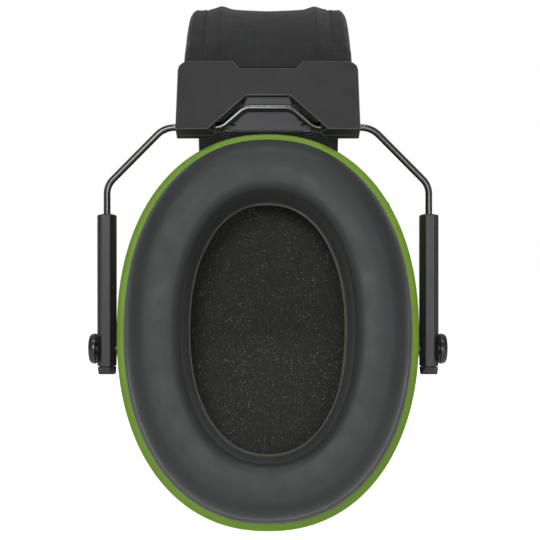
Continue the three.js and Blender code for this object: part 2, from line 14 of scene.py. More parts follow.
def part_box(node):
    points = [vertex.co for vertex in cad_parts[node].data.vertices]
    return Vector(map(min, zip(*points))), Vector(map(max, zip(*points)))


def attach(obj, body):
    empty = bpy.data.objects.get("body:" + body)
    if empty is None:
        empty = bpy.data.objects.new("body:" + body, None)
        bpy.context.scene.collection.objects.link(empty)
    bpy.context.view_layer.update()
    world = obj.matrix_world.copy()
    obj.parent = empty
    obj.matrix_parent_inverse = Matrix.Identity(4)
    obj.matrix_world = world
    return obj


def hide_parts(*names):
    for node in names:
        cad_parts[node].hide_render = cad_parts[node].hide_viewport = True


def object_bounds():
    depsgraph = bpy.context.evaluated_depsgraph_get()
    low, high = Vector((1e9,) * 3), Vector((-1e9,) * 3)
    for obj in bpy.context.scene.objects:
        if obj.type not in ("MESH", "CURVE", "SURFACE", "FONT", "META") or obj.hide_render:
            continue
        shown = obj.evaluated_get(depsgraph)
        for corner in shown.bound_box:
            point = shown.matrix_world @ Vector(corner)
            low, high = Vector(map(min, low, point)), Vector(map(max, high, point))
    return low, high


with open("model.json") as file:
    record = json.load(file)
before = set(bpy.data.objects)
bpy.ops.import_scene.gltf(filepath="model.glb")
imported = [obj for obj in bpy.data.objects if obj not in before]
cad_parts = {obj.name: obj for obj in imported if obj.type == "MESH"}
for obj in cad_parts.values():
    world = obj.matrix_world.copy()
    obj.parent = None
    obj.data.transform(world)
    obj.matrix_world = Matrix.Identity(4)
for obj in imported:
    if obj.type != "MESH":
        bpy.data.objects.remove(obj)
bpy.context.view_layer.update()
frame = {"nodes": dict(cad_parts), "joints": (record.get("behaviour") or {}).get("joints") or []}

MM = 0.001
JOINTS = {joint["name"]: joint for joint in frame["joints"]}

# Which way along Y each side lies, and which way along X each end of it lies.
SIDES = {"right": -1, "left": 1}
ENDS = {"front": 1, "rear": -1}

# ---- sizes, in millimetres, worked out from the frame where it gives them -----------------------
ring_low, ring_high = (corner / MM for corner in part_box("left_cup_ring"))
PIVOT_SIDE = JOINTS["left_cup_turn"]["pos_m"][1] / MM
YOKE_TOP = JOINTS["left_yoke_swing"]["pos_m"][2] / MM
HALF_WIDTH = ring_high.x
HALF_HEIGHT = (ring_high.z - ring_low.z) / 2
RISE = -(ring_high.z + ring_low.z) / 2
RING_BACK, RING_FRONT = PIVOT_SIDE - ring_high.y, PIVOT_SIDE - ring_low.y
OVAL_POWER = 2.2
OVAL_POINTS = 144
CUP_TURN = {"right": radians(-7), "left": radians(180)}

# The bowl: its back's depth, its wall, and (width share, height share, depth over the back) along
# its outside.
BACK = -20.5
WALL = 2.3
PANEL_SHARE = (0.42, 0.5)
BOWL_FORM = (
    (*PANEL_SHARE, 0), (0.54, 0.61, 0.35), (0.66, 0.72, 1.6), (0.76, 0.805, 3.55), (0.83, 0.865, 6),
    (0.915, 0.935, 13),
)

CUSHION_FOOT, PLATE_BACK, PLATE_EDGE = 11.1, RING_FRONT + 0.3, 4.0
CUSHION_FRONT = PIVOT_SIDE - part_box("left_cushion_skin")[0].y / MM
CUSHION_OUTER, CUSHION_INNER, CUSHION_FLARE = 3.55, 19.1, 1.7
CUSHION_SKIRT = PLATE_BACK + 0.5
CUSHION_POINTS = 112

# The headband: an arc about X, thick over the crown and thin in the clips.
BAND_END = radians(51.9)
band_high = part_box("headband_cover")[1] / MM
BAND_RADIUS = band_high.y / sin(BAND_END)
BAND_CENTRE = band_high.z - BAND_RADIUS
BAND_HALF_WIDTH = band_high.x
BAND_THICK, BAND_THIN, BAND_CORNER = 12.0, 3.9, 3.0
BAND_STEPS, FACE_STEPS = 96, 56
PAD_END, PAD_FADE = radians(46), radians(12)
SWELL_END, SWELL_FADE = radians(50.5), radians(7)
SEAMS, SEAM_SINK, SEAM_WIDTH = (19.7, 21.6), 0.6, 0.6
RIB_X, RIB_RISE, RIB_WIDTH = 15.0, 0.95, 2.1
SLACK, SLACK_X = 0.55, 12.5

# The yoke's bent wire and the clips.
WIRE_RADIUS = 1.0
LEG_X, LEG_TOP, SHOULDER_X = 46.6, 47.3, 30
CRANK_FOOT, CRANK_HEAD, CRANK_RISE = 13.5, 6.8, 5.75
CLIP_LEAN = radians(28)
CLIP_WIRE = (4, 1.9)
SCREW_X, SCREW_Z = 16, 16.6

# The cloth simulation of the padded pieces.
CLOTH_FRAMES = 20
CLOTH = {
    "quality": 6,
    "mass": 0.15,
    "tension_stiffness": 12,
    "compression_stiffness": 12,
    "shear_stiffness": 6,
    "bending_stiffness": 0.4,
    "use_pressure": True,
    "vertex_group_mass": "pinned",
}

# The studio, in metres and watts: each light's place, size and power.
CAMERA_LENS, CAMERA_PLACE = 85.6, (0.0006, -0.434, 0.0228)
LIGHT_TARGET = (0, -0.05, 0.02)
LIGHTS = {
    "key": ((-0.16, -1.05, 0.3), (0.35, 0.35), 3.2),
    "fill": ((0.2, -1.05, 0.0), (0.35, 0.35), 1.9),
    "top": ((0.0, -0.42, 0.75), (0.45, 0.03), 1.6),
    "back_left": ((-0.55, 0.9, 0.4), (0.4, 0.4), 6),
    "back_right": ((0.55, 0.9, 0.4), (0.4, 0.4), 6),
}


# ---- meshes --------------------------------------------------------------------------------------
def loft(rings, looped=False):
    """Vertices and faces of a skin over rings of points. A ring of one point closes an end."""
    verts = [point for ring in rings for point in ring]
    starts = [sum(len(ring) for ring in rings[:i]) for i in range(len(rings))]
    faces = []
    for i in range(len(rings) if looped else len(rings) - 1):
        j = (i + 1) % len(rings)
        count = max(len(rings[i]), len(rings[j]))
        for k in range(count):
            steps = (k, (k + 1) % count)
            a, b = (starts[i] + m % len(rings[i]) for m in steps)
            c, d = (starts[j] + m % len(rings[j]) for m in steps)
            faces.append(list(dict.fromkeys((a, b, d, c))))
    return verts, faces


def make(name, form, matrix=None, sharp=40):
    """An object from vertices in millimetres, with its faces pointing out and its soft edges smooth."""
    verts, faces = form
    mesh = bpy.data.meshes.new(name)
    mesh.from_pydata([Vector(v) * MM for v in verts], [], faces)
    bm = bmesh.new()
    bm.from_mesh(mesh)
    bmesh.ops.recalc_face_normals(bm, faces=bm.faces)
    bm.to_mesh(mesh)
    bm.free()
    if matrix is not None:
        mesh.transform(matrix)
    obj = bpy.data.objects.new(name, mesh)
    bpy.context.scene.collection.objects.link(obj)
    soften(mesh, sharp)
    return obj


def soften(mesh, sharp=40):
    mesh.shade_smooth()
    mesh.set_sharp_from_angle(angle=radians(sharp))


def settle(obj, sharp=40):
    """Applies an object's modifiers to its mesh."""
    graph = bpy.context.evaluated_depsgraph_get()
    mesh = bpy.data.meshes.new_from_object(obj.evaluated_get(graph))
    obj.modifiers.clear()
    obj.data = mesh
    if sharp:
        soften(mesh, sharp)
    return obj


def combine(obj, other, operation):
    """Joins or cuts obj by another object, which is then removed."""
    step = obj.modifiers.new("boolean", "BOOLEAN")
    step.operation, step.object, step.solver = operation, other, "EXACT"
    bpy.context.view_layer.update()
    settle(obj)
    bpy.data.objects.remove(other)
    return obj


def refined(node, width):
    """A copy of a CAD node's form with its flat faces whole and its edges rounded."""
    mesh = frame["nodes"][node].data.copy()
    mesh.materials.clear()
    bm = bmesh.new()
    bm.from_mesh(mesh)
    bmesh.ops.remove_doubles(bm, verts=bm.verts, dist=1e-6)
    bmesh.ops.dissolve_limit(bm, angle_limit=radians(0.5), verts=bm.verts, edges=bm.edges)
    bm.to_mesh(mesh)
    bm.free()
    obj = bpy.data.objects.new(node + "_finished", mesh)
    bpy.context.scene.collection.objects.link(obj)
    bevel = obj.modifiers.new("bevel", "BEVEL")
    bevel.width, bevel.segments = width * MM, 3
    bevel.limit_method, bevel.angle_limit = "ANGLE", radians(35)
    bevel.use_clamp_overlap = True
    mesh.shade_smooth()
    obj.modifiers.new("normals", "WEIGHTED_NORMAL").keep_sharp = True
    bpy.context.view_layer.update()
    return settle(obj, sharp=None)


def oval(inset_by, depth, half=None, points=OVAL_POINTS):
    """One oval ring of a cup, set in from the cup's outline or with half sizes of its own."""
    half_width, half_height = half or (HALF_WIDTH - inset_by, HALF_HEIGHT - inset_by)
    ring = []
    for i in range(points):
        angle = 2 * pi * i / points
        across, along = (
            copysign(abs(value) ** (2 / OVAL_POWER), value) for value in (cos(angle), sin(angle))
        )
        ring.append((half_width * across, -depth, RISE + half_height * along))
    return ring


def cup_matrix(side):
    """From a cup's own frame to where the cup stands at rest."""
    turn = Matrix.Rotation(CUP_TURN[side], 4, "X")
    out = Matrix.Translation((0, -PIVOT_SIDE * MM, 0))
    return Matrix.Rotation(pi if side == "left" else 0, 4, "Z") @ out @ turn


def clip_matrix(side):
    """The clip's own frame: X across, Y into its face and Z up it, from where its wire lies."""
    out = Matrix.Translation((0, -PIVOT_SIDE * MM, YOKE_TOP * MM))
    lean = Matrix.Rotation(-CLIP_LEAN, 4, "X")
    wire = Matrix.Translation((0, -CLIP_WIRE[0] * MM, -CLIP_WIRE[1] * MM))
    return Matrix.Rotation(pi if side == "left" else 0, 4, "Z") @ out @ lean @ wire


def arc(centre, radius, start, end, steps):
    """Points on an arc in a plane, from one angle to another in degrees."""
    angles = [radians(start + (end - start) * i / steps) for i in range(steps + 1)]
    return [(centre[0] + radius * cos(a), centre[1] + radius * sin(a)) for a in angles]


def turned(profile, sides=48):
    """A turned form about Z from (radius, height) points. A radius of 0 closes an end."""
    rings = []
    for radius, height in profile:
        if radius == 0:
            rings.append([(0, 0, height)])
            continue
        angles = [2 * pi * i / sides for i in range(sides)]
        rings.append([(radius * cos(a), radius * sin(a), height) for a in angles])
    return loft(rings, looped=profile[0][0] != 0)


def curve_through(points, steps):
    """A smooth run of points through the given ones, with the same number of steps in each gap."""
    ends = [points[0], *points, points[-1]]
    path = []
    for i in range(len(points) - 1):
        before, start, end, after = (Vector(p) for p in ends[i:i + 4])
        for k in range(steps):
            t = k / steps
            path.append(0.5 * (
                2 * start + (end - before) * t
                + (2 * before - 5 * start + 4 * end - after) * t * t
                + (3 * start - before - 3 * end + after) * t ** 3
            ))
    return path + [Vector(points[-1])]


# ---- materials -----------------------------------------------------------------------------------
class Finish:
    """A node-based material on one Principled shader."""

    def __init__(self, name, colour, roughness, **sockets):
        self.material = bpy.data.materials.new(name)
        self.material.use_nodes = True
        self.nodes = self.material.node_tree.nodes
        self.links = self.material.node_tree.links
        self.shader = self.nodes["Principled BSDF"]
        self.colour = colour
        self.shader.inputs["Base Color"].default_value = (*colour, 1)
        self.shader.inputs["Roughness"].default_value = roughness
        for socket, value in sockets.items():
            self.shader.inputs[socket.replace("_", " ")].default_value = value
        self.place = self.nodes.new("ShaderNodeTexCoord").outputs["Object"]
        self.normal = None
        self.tint = None

    def node(self, kind, **inputs):
        """A new node. An input given as _0, _1 and so on is one that shares its name."""
        made = self.nodes.new("ShaderNode" + kind)
        for name, value in inputs.items():
            self.plug(made, int(name[1:]) if name.startswith("_") else name, value)
        return made

    def plug(self, node, name, value):
        if isinstance(value, bpy.types.NodeSocket):
            self.links.new(value, node.inputs[name])
        else:
            node.inputs[name].default_value = value

    def math(self, operation, first, second=0.0):
        made = self.node("Math", _0=first, _1=second)
        made.operation = operation
        return made.outputs[0]

    def noise(self, size, detail=2.0, rough=0.5, place=None):
        """Noise with features about size millimetres across."""
        made = self.node("TexNoise", Vector=place or self.place, Scale=1 / (size * MM))
        made.inputs["Detail"].default_value = detail
        made.inputs["Roughness"].default_value = rough
        return made.outputs["Fac"]

    def spread(self, value, low, high, to_low=0.0, to_high=1.0):
        """Maps the range from low to high onto another one, and holds it there."""
        made = self.node("MapRange", Value=value)
        limits = {"From Min": low, "From Max": high, "To Min": to_low, "To Max": to_high}
        for name, number in limits.items():
            made.inputs[name].default_value = number
        return made.outputs["Result"]

    def blend_colour(self, amount, colour):
        """Mixes another colour over the base colour."""
        mix = self.node("Mix")
        mix.data_type = "RGBA"
        self.links.new(amount, mix.inputs["Factor"])
        under, over, result = mix.inputs[6], mix.inputs[7], mix.outputs[2]
        if self.tint is None:
            under.default_value = (*self.colour, 1)
        else:
            self.links.new(self.tint, under)
        over.default_value = (*colour, 1)
        self.tint = result
        self.links.new(self.tint, self.shader.inputs["Base Color"])
        return self

    def vary_roughness(self, amount, low, high):
        """Spreads the roughness between two values by a noise's strength."""
        self.links.new(self.spread(amount, 0.3, 0.7, low, high), self.shader.inputs["Roughness"])
        return self

    def bump(self, height, depth):
        """Raises the surface by height times depth millimetres."""
        made = self.node("Bump", Height=height, Distance=depth * MM, Strength=1.0)
        if self.normal is not None:
            self.links.new(self.normal, made.inputs["Normal"])
        self.normal = made.outputs["Normal"]
        self.links.new(self.normal, self.shader.inputs["Normal"])
        return self

    def round_and_highlight_edges(self, radius, colour):
        """Shades sharp edges as if rounded, and paints a pale highlight along them."""
        self.normal = self.node("Bevel", Radius=radius * MM).outputs["Normal"]
        flat = self.node("NewGeometry").outputs["True Normal"]
        turned_by = self.node("VectorMath", _0=self.normal, _1=flat)
        turned_by.operation = "DOT_PRODUCT"
        # A pale colour along the edges: a painted highlight.
        share = self.spread(turned_by.outputs["Value"], 0.998, 0.94, 0, 0.9)
        return self.blend_colour(share, colour)

    def worn_edges(self, colour):
        """Lightens the edges that handling rubs, in patches."""
        edges = self.node("NewGeometry").outputs["Pointiness"]
        patchy = self.spread(self.noise(2.5, 3), 0.35, 0.65, 0.3, 1.0)
        share = self.math("MULTIPLY", self.spread(edges, 0.52, 0.62, 0, 0.6), patchy)
        return self.blend_colour(share, colour)


def moulded(name, colour, roughness, grain=0.35, depth=0.018, wear_and_edge_highlight=None, edge=None, **sockets):
    """Moulded plastic: fine spark texture, a faint cloudiness, and edges either slightly rubbed or,
    where an edge radius is given, rounded with a painted highlight.
    """
    made = Finish(name, colour, roughness, **sockets)
    cloud = made.noise(9, 3)
    lighter = tuple(c * 1.35 + 0.002 for c in colour)
    made.blend_colour(made.spread(cloud, 0.4, 0.75, 0, 0.35), lighter)
    made.vary_roughness(made.noise(6, 3), roughness * 0.96, roughness * 1.05)
    if edge:
        made.round_and_highlight_edges(edge, wear_and_edge_highlight)
    elif wear_and_edge_highlight:
        made.worn_edges(wear_and_edge_highlight)
    made.bump(made.noise(grain, 3, 0.6), depth)
    return made


def cushion_vinyl():
    """Soft vinyl film over foam: fine pebbled grain and a dull sheen."""
    made = Finish("cushion_vinyl", (0.031, 0.0324, 0.033), 0.5, Sheen_Weight=0.1,
                  Sheen_Roughness=0.5, Specular_IOR_Level=0.42)
    made.blend_colour(made.spread(made.noise(16, 3), 0.35, 0.7, 0, 0.7), (0.0385, 0.0409, 0.0428))
    made.vary_roughness(made.noise(5, 4), 0.44, 0.56)
    cells = made.node("TexVoronoi", Vector=made.place, Scale=1 / (0.55 * MM))
    cells.feature = "DISTANCE_TO_EDGE"
    made.bump(made.spread(cells.outputs["Distance"], 0.0, 0.22), 0.011)
    made.bump(made.noise(4, 2), 0.03)
    return made


def liner_foam():
    """Open-cell foam, charcoal, with cell walls that catch the light as tiny pale specks."""
    made = Finish("liner_foam", (0.037, 0.037, 0.034), 0.95, Specular_IOR_Level=0.25)
    cells = made.node("TexVoronoi", Vector=made.place, Scale=1 / (0.5 * MM))
    random = made.node("SeparateColor", Color=cells.outputs["Color"]).outputs["Red"]
    near = made.spread(cells.outputs["Distance"], 0.36, 0.2)
    patchy = made.spread(made.noise(7, 2), 0.4, 0.65, 0.35, 1)
    chosen = made.math("MULTIPLY", made.spread(random, 0.62, 0.99), patchy)
    made.blend_colour(made.spread(made.noise(0.8, 3), 0.45, 0.75, 0, 0.75), (0.068, 0.067, 0.061))
    made.blend_colour(made.math("MULTIPLY", near, chosen), (0.36, 0.36, 0.33))
    made.bump(made.noise(0.7, 3, 0.7), 0.3)
    return made


def plate_lip_painted_highlight():
    """The plate's thin moulded lip, dark, with pale patches along parts of its length that are painted
    highlights.
    """
    made = Finish("plate_lip_painted_highlight", (0.007, 0.007, 0.006), 0.6, Specular_IOR_Level=0.12)
    # Pale patches: painted highlights.
    made.blend_colour(made.spread(made.noise(30, 2), 0.48, 0.6), (0.16, 0.158, 0.075))
    return made.bump(made.noise(0.6, 3), 0.01)


def band_fabric():
    """A fine ribbed knit, its loops' crests lightened by a painted highlight. Its wales run along the
    band and its courses run across it.
    """
    made = Finish("band_knit", (0.021, 0.0216, 0.022), 0.93, Sheen_Weight=0.16,
                  Sheen_Roughness=0.45, Specular_IOR_Level=0.2)
    wale_width, course_height, slant = 0.62, 0.74, 0.9
    split = made.node("SeparateXYZ", Vector=made.place)
    height = made.math("SUBTRACT", split.outputs["Z"], BAND_CENTRE * MM)
    angle = made.math("ARCTAN2", split.outputs["Y"], height)
    along = made.math("MULTIPLY", angle, BAND_RADIUS)
    across = made.math("DIVIDE", split.outputs["X"], MM)
    wale = made.math("ABSOLUTE", made.math("SINE", made.math("MULTIPLY", across, pi / wale_width)))
    slanted = made.math("ADD", along, made.math("MULTIPLY", wale, slant))
    course = made.math("SINE", made.math("MULTIPLY", slanted, 2 * pi / course_height))
    loops = made.math("MULTIPLY", wale, made.spread(course, -1, 1, 0.35, 1))
    # The loops' crests: a painted highlight.
    made.blend_colour(made.spread(loops, 0.1, 0.95, 0, 0.8), (0.062, 0.0635, 0.064))
    made.blend_colour(made.spread(made.noise(7, 4), 0.45, 0.8, 0, 0.5), (0.036, 0.037, 0.038))
    made.bump(loops, 0.16)
    made.bump(made.noise(0.25, 2), 0.05)
    return made


def stitch_thread():
    """Dark twisted thread."""
    made = Finish("stitch_thread", (0.012, 0.012, 0.0125), 0.6, Sheen_Weight=0.1)
    twist = made.node("TexWave", Vector=made.place, Scale=1 / (0.9 * MM))
    made.blend_colour(twist.outputs["Fac"], (0.004, 0.004, 0.004))
    return made.bump(twist.outputs["Fac"], 0.05)


def coated_wire():
    """Spring wire under a glossy black coat."""
    made = Finish("coated_wire", (0.007, 0.007, 0.0075), 0.2, Coat_Weight=1.0,
                  Coat_Roughness=0.06, Specular_IOR_Level=0.8)
    made.vary_roughness(made.noise(9, 2), 0.15, 0.21)
    made.blend_colour(made.spread(made.noise(6, 3), 0.5, 0.8, 0, 0.5), (0.016, 0.016, 0.017))
    return made.bump(made.noise(4, 2), 0.003)


def steel(name, colour, roughness):
    """Steel, faintly brushed and spotted."""
    made = Finish(name, colour, roughness, Metallic=1.0)
    stretched = made.node("Mapping", Vector=made.place)
    stretched.inputs["Scale"].default_value = (0.04, 1, 1)
    brushed = made.noise(0.35, 3, place=stretched.outputs["Vector"])
    made.vary_roughness(brushed, roughness * 0.75, roughness * 1.3)
    darker = tuple(c * 0.6 for c in colour)
    made.blend_colour(made.spread(made.noise(3, 4), 0.5, 0.8, 0, 0.5), darker)
    return made.bump(brushed, 0.008)


FINISHES = {
    "shell_plastic": moulded("shell_plastic", (0.019, 0.0195, 0.02), 0.48, wear_and_edge_highlight=(0.06, 0.06, 0.06)),
    "green_plastic": moulded("green_plastic", (0.2, 0.385, 0.024), 0.42, grain=0.8, depth=0.008,
                             wear_and_edge_highlight=(0.33, 0.52, 0.13), Specular_IOR_Level=0.3),
    # The clip's and the sliders' pale edge colours are painted highlights on their rounded edges; the
    # other pieces' pale edge colours are rubbed edges.
    "clip_plastic": moulded("clip_plastic", (0.0105, 0.0107, 0.0107), 0.46,
                            wear_and_edge_highlight=(0.27, 0.27, 0.275), edge=0.42, Specular_IOR_Level=0.3),
    # Glossier than the clip, and paler with a grey-violet tint that is a painted reflection.
    "clip_panel": moulded("clip_panel", (0.031, 0.0315, 0.037), 0.38, grain=0.5, depth=0.006,
                          Specular_IOR_Level=0.3),
    "slider_plastic": moulded("slider_plastic", (0.02, 0.02, 0.021), 0.4, grain=0.5, depth=0.01,
                              wear_and_edge_highlight=(0.12, 0.12, 0.122), edge=0.25),
    "inner_plastic": moulded("inner_plastic", (0.018, 0.018, 0.018), 0.5),
    "plate_lip_painted_highlight": plate_lip_painted_highlight(),
    "pin_plastic": moulded("pin_plastic", (0.019, 0.019, 0.019), 0.22, grain=0.9, depth=0.006,
                           wear_and_edge_highlight=(0.06, 0.06, 0.06)),
    "cushion_skin": cushion_vinyl(),
    # The flange's pale colour is a painted reflection of the white floor below.
    "cushion_flange_painted_reflection": moulded("cushion_flange_painted_reflection", (0.125, 0.127, 0.135), 0.32, grain=1.2, depth=0.01),
    "liner_foam": liner_foam(),
    "band_fabric": band_fabric(),
    "stitch": stitch_thread(),
    "black_wire": coated_wire(),
    "spring_steel": steel("spring_steel", (0.5, 0.51, 0.52), 0.35),
    "screw_steel": steel("screw_steel", (0.06, 0.061, 0.063), 0.42),
}


def fit(obj, body, slot, *nodes, finish=None):
    """Gives a piece its material, the finish named or else its slot's, the body it rides on, and hides
    the CAD nodes it stands for.
    """
    obj.data.materials.append(FINISHES[finish or slot].material)
    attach(obj, body)
    if nodes:
        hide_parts(*nodes)
    return obj


def repaint(node, slot):
    """A CAD node that stays gets its finished material."""
    obj = frame["nodes"][node]
    obj.data.materials.clear()
    obj.data.materials.append(FINISHES[slot].material)


# ---- soft pieces ---------------------------------------------------------------------------------
def inflate(obj, pinned, pressure, cap):
    """Swells a padded piece by cloth simulation, holding the pinned vertices and capping the rest."""
    rest = [v.co.copy() for v in obj.data.vertices]
    group = obj.vertex_groups.new(name="pinned")
    group.add(pinned, 1.0, "REPLACE")
    cloth = obj.modifiers.new("cloth", "CLOTH")
    for name, value in CLOTH.items():
        setattr(cloth.settings, name, value)
    cloth.settings.uniform_pressure_force = pressure
    cloth.settings.effector_weights.gravity = 0
    cloth.point_cache.frame_start, cloth.point_cache.frame_end = 1, CLOTH_FRAMES
    for step in range(1, CLOTH_FRAMES + 1):
        bpy.context.scene.frame_set(step)
    graph = bpy.context.evaluated_depsgraph_get()
    swollen = [v.co.copy() for v in obj.evaluated_get(graph).data.vertices]
    obj.modifiers.clear()
    bpy.context.scene.frame_set(1)
    obj.vertex_groups.clear()
    for vertex, start, end in zip(obj.data.vertices, rest, swollen):
        move = end - start
        most = cap * MM
        vertex.co = start + (move * (most / move.length) if move.length > most else move)


def subdivide(obj):
    """Applies one level of subdivision."""
    fine = obj.modifiers.new("fine", "SUBSURF")
    fine.levels = fine.render_levels = 1
    bpy.context.view_layer.update()
    return settle(obj, sharp=60)


def outside_share(spot, inset_by):
    """Over 1 where a point of a cup lies outside the oval set in by inset_by."""
    wide = abs(spot.x) / (HALF_WIDTH - inset_by)
    tall = abs(spot.z - RISE) / (HALF_HEIGHT - inset_by)
    return wide ** OVAL_POWER + tall ** OVAL_POWER


def cushion_section():
    """The cushion's section as (inset, depth) points, from its foot round over its front."""
    outer, inner, foot = CUSHION_OUTER, CUSHION_INNER, CUSHION_FOOT
    front, skirt = CUSHION_FRONT - 0.3, CUSHION_SKIRT
    shoulder, lip, flange, tuck = 6.4, 3.4, 2.3, PLATE_EDGE - 0.2
    section = [(tuck, foot), (tuck, skirt), (flange + 0.2, skirt), (flange, skirt + 0.25)]
    section += [(flange, skirt + 0.7), (flange + 0.2, skirt + 0.95), (outer - 0.15, skirt + 1.05)]
    section += [(outer + 0.05, skirt + 1.3), (outer, foot + 2.6)]
    section += arc((outer + shoulder, front - shoulder), shoulder, 180, 90, 9)
    crown_width = inner - lip - outer - shoulder
    for share in (0.25, 0.5, 0.75):
        section.append((outer + shoulder + crown_width * share, front + 0.25 * sin(pi * share)))
    section += arc((inner - lip, front - lip), lip, 90, 8, 6)
    for k in range(1, 8):
        depth = front - lip + (foot + 0.4 - front + lip) * k / 7.5
        section.append((inner + CUSHION_FLARE * (k / 7.5) ** 1.4, depth))
    end = inner + CUSHION_FLARE
    section += [(end - (end - tuck) * k / 5, foot) for k in range(5)]
    return section


def build_cushion(side):
    """The padded ring: a deep rounded shoulder outside, a tighter one round the ear opening."""
    section = cushion_section()
    rings = [oval(by, depth, points=CUSHION_POINTS) for by, depth in section]
    cushion = make(f"{side}_ear_cushion", loft(rings, looped=True), cup_matrix(side), sharp=70)
    base = [i for i, (_, depth) in enumerate(section) if depth < CUSHION_FOOT + 0.8]
    pinned = [i * CUSHION_POINTS + k for i in base for k in range(CUSHION_POINTS)]
    inflate(cushion, pinned, pressure=3.0, cap=0.6)
    subdivide(cushion)
    fit(cushion, f"{side}_cup", "cushion_skin", f"{side}_cushion_skin", f"{side}_cushion_foam")
    # The flange faces get the pale material: a painted reflection.
    cushion.data.materials.append(FINISHES["cushion_flange_painted_reflection"].material)
    into_cup = cup_matrix(side).inverted()
    for face in cushion.data.polygons:
        spot = into_cup @ face.center / MM
        on_flange = 0.5 < -spot.y - CUSHION_SKIRT < 1.15
        if on_flange and outside_share(spot, CUSHION_OUTER - 0.1) > 1:
            face.material_index = 1


def cut_foam(x, z):
    """How far a cut foam face is raised or torn at a point."""
    coarse = noise.noise(Vector((x, z, 3.7)) / 1.1)
    fine = noise.noise(Vector((x, z, 9)) / 0.5)
    return 0.22 * coarse + 0.12 * fine


def build_liner(side):
    """The dished foam in the bowl, rough where it is cut open."""
    wide, tall = HALF_WIDTH * 0.83, HALF_HEIGHT * 0.87
    front, dish, steps = 0.5, 4.5, 46
    rings = [[(0, -(BACK + WALL + 0.5), RISE)]]
    for wide_share, tall_share, over in ((0.58, 0.66, 4.4), (0.735, 0.79, 7.6), (0.83, 0.87, 13)):
        rings.append(oval(0, BACK + over, (HALF_WIDTH * wide_share, HALF_HEIGHT * tall_share)))
    for k in range(steps):
        share = 1 - k / steps
        depth = front - dish * (1 - share ** 2.6)
        ring = oval(0, depth, (wide * share, tall * share))
        rings.append([(x, y - cut_foam(x, z), z) for x, y, z in ring])
    rings.append([(0, -(front - dish), RISE)])
    liner = make(f"{side}_absorbing_foam", loft(rings), cup_matrix(side), sharp=80)
    fit(liner, f"{side}_cup", "liner_foam", f"{side}_cup_foam_liner")


def eased(share):
    """A share held between 0 and 1, with a soft start and end."""
    share = min(1, max(0, share))
    return share * share * (3 - 2 * share)


def thickness_at(angle):
    return BAND_THIN + (BAND_THICK - BAND_THIN) * eased((PAD_END - abs(angle)) / PAD_FADE)


def swell_at(angle):
    """How full the cover is: 1 over the crown, and 0 where the clips pinch it flat."""
    return eased((SWELL_END - abs(angle)) / SWELL_FADE)


def hump(x, centre, spread):
    """A smooth hump of height 1 on both sides of the middle."""
    return exp(-(((abs(x) - centre) / spread) ** 2))


def cover_height(x):
    """The outer face's shape across the band: slack between two ribs, and seams beyond them."""
    slack = -SLACK * max(0, 1 - (x / SLACK_X) ** 2)
    seams = sum(hump(x, seam, SEAM_WIDTH) for seam in SEAMS)
    return slack + RIB_RISE * hump(x, RIB_X, RIB_WIDTH) - SEAM_SINK * seams


def band_section(angle):
    """The cover's cross-section as (across, radius) points, and which of them the seams hold."""
    inner = BAND_RADIUS - thickness_at(angle)
    full = swell_at(angle)
    corner = min(BAND_CORNER, thickness_at(angle) / 2 - 0.05)
    side = BAND_HALF_WIDTH - corner
    xs = [side - 2 * side * k / FACE_STEPS for k in range(FACE_STEPS + 1)]
    outer = [(x, BAND_RADIUS + full * cover_height(x)) for x in xs]
    under = [(-x, inner + full * 0.5 * hump(x, SEAMS[0], 0.8)) for x in xs[::2]]
    left = arc((-side, BAND_RADIUS - corner), corner, 90, 180, 4)[1:]
    left_low = arc((-side, inner + corner), corner, 180, 270, 4)[:-1]
    right_low = arc((side, inner + corner), corner, 270, 360, 4)[1:]
    right = arc((side, BAND_RADIUS - corner), corner, 0, 90, 4)[:-1]
    points = outer + left + left_low + under + right_low + right
    held = [i for i, (x, _) in enumerate(points) if SEAMS[0] - 0.6 < abs(x) < SEAMS[1] + 0.4]
    return points, held


def on_band(x, radius, angle):
    """A point of the headband, by its place across, its radius and its angle from the crown."""
    return (x, radius * sin(angle), BAND_CENTRE + radius * cos(angle))


def build_band():
    """The padded knit sleeve, sewn along both edges, with a rib of piping inside each seam."""
    rings, pinned = [], []
    for k in range(BAND_STEPS + 1):
        angle = BAND_END * (2 * k / BAND_STEPS - 1)
        section, held = band_section(angle)
        size = len(section)
        wrinkle = 0.16 * swell_at(angle) * (1 + 1.5 * hump(angle, radians(43), radians(5)))
        ring = []
        for x, radius in section:
            place = Vector((x / 9, angle * BAND_RADIUS / 5, radius / 30))
            radius += wrinkle * noise.noise(place)
            ring.append(on_band(x, radius, angle))
        rings.append(ring)
        at_end = k in (0, 1, BAND_STEPS - 1, BAND_STEPS)
        pinned += [k * size + i for i in (range(size) if at_end else held)]
    middle = BAND_RADIUS - BAND_THIN / 2
    verts, faces = loft([*rings, [on_band(0, middle, BAND_END)]])
    first = len(verts)
    verts.append(on_band(0, middle, -BAND_END))
    faces += [[first, (k + 1) % size, k] for k in range(size)]
    cover = make("headband_padded_cover", (verts, faces), sharp=75)
    inflate(cover, pinned + [first - 1, first], pressure=2.0, cap=0.7)
    soften(cover.data, 75)
    fit(cover, "headband", "band_fabric", "headband_cover", "headband_pad_foam")


def stitch(seam, middle):
    """One lockstitch across a seam, as a tapered length of thread."""
    length, width, lean = 1.9, 0.26, copysign(0.12, seam)
    radius = BAND_RADIUS - SEAM_SINK * swell_at(middle) + 0.12
    rings = []
    for along, swell in ((-1, 0.15), (-0.75, 0.75), (-0.3, 1), (0.3, 1), (0.75, 0.75), (1, 0.15)):
        angle = middle + along * length / 2 / BAND_RADIUS
        ring = []
        for across, out in arc((0, 0), width * swell, 0, 315, 7):
            ring.append(on_band(seam + across + lean * along, radius + 0.8 * out, angle))
        rings.append(ring)
    verts, faces = loft(rings)
    size = len(rings[0])
    faces.append(list(range(size))[::-1])
    faces.append(list(range(len(verts) - size, len(verts))))
    return verts, faces


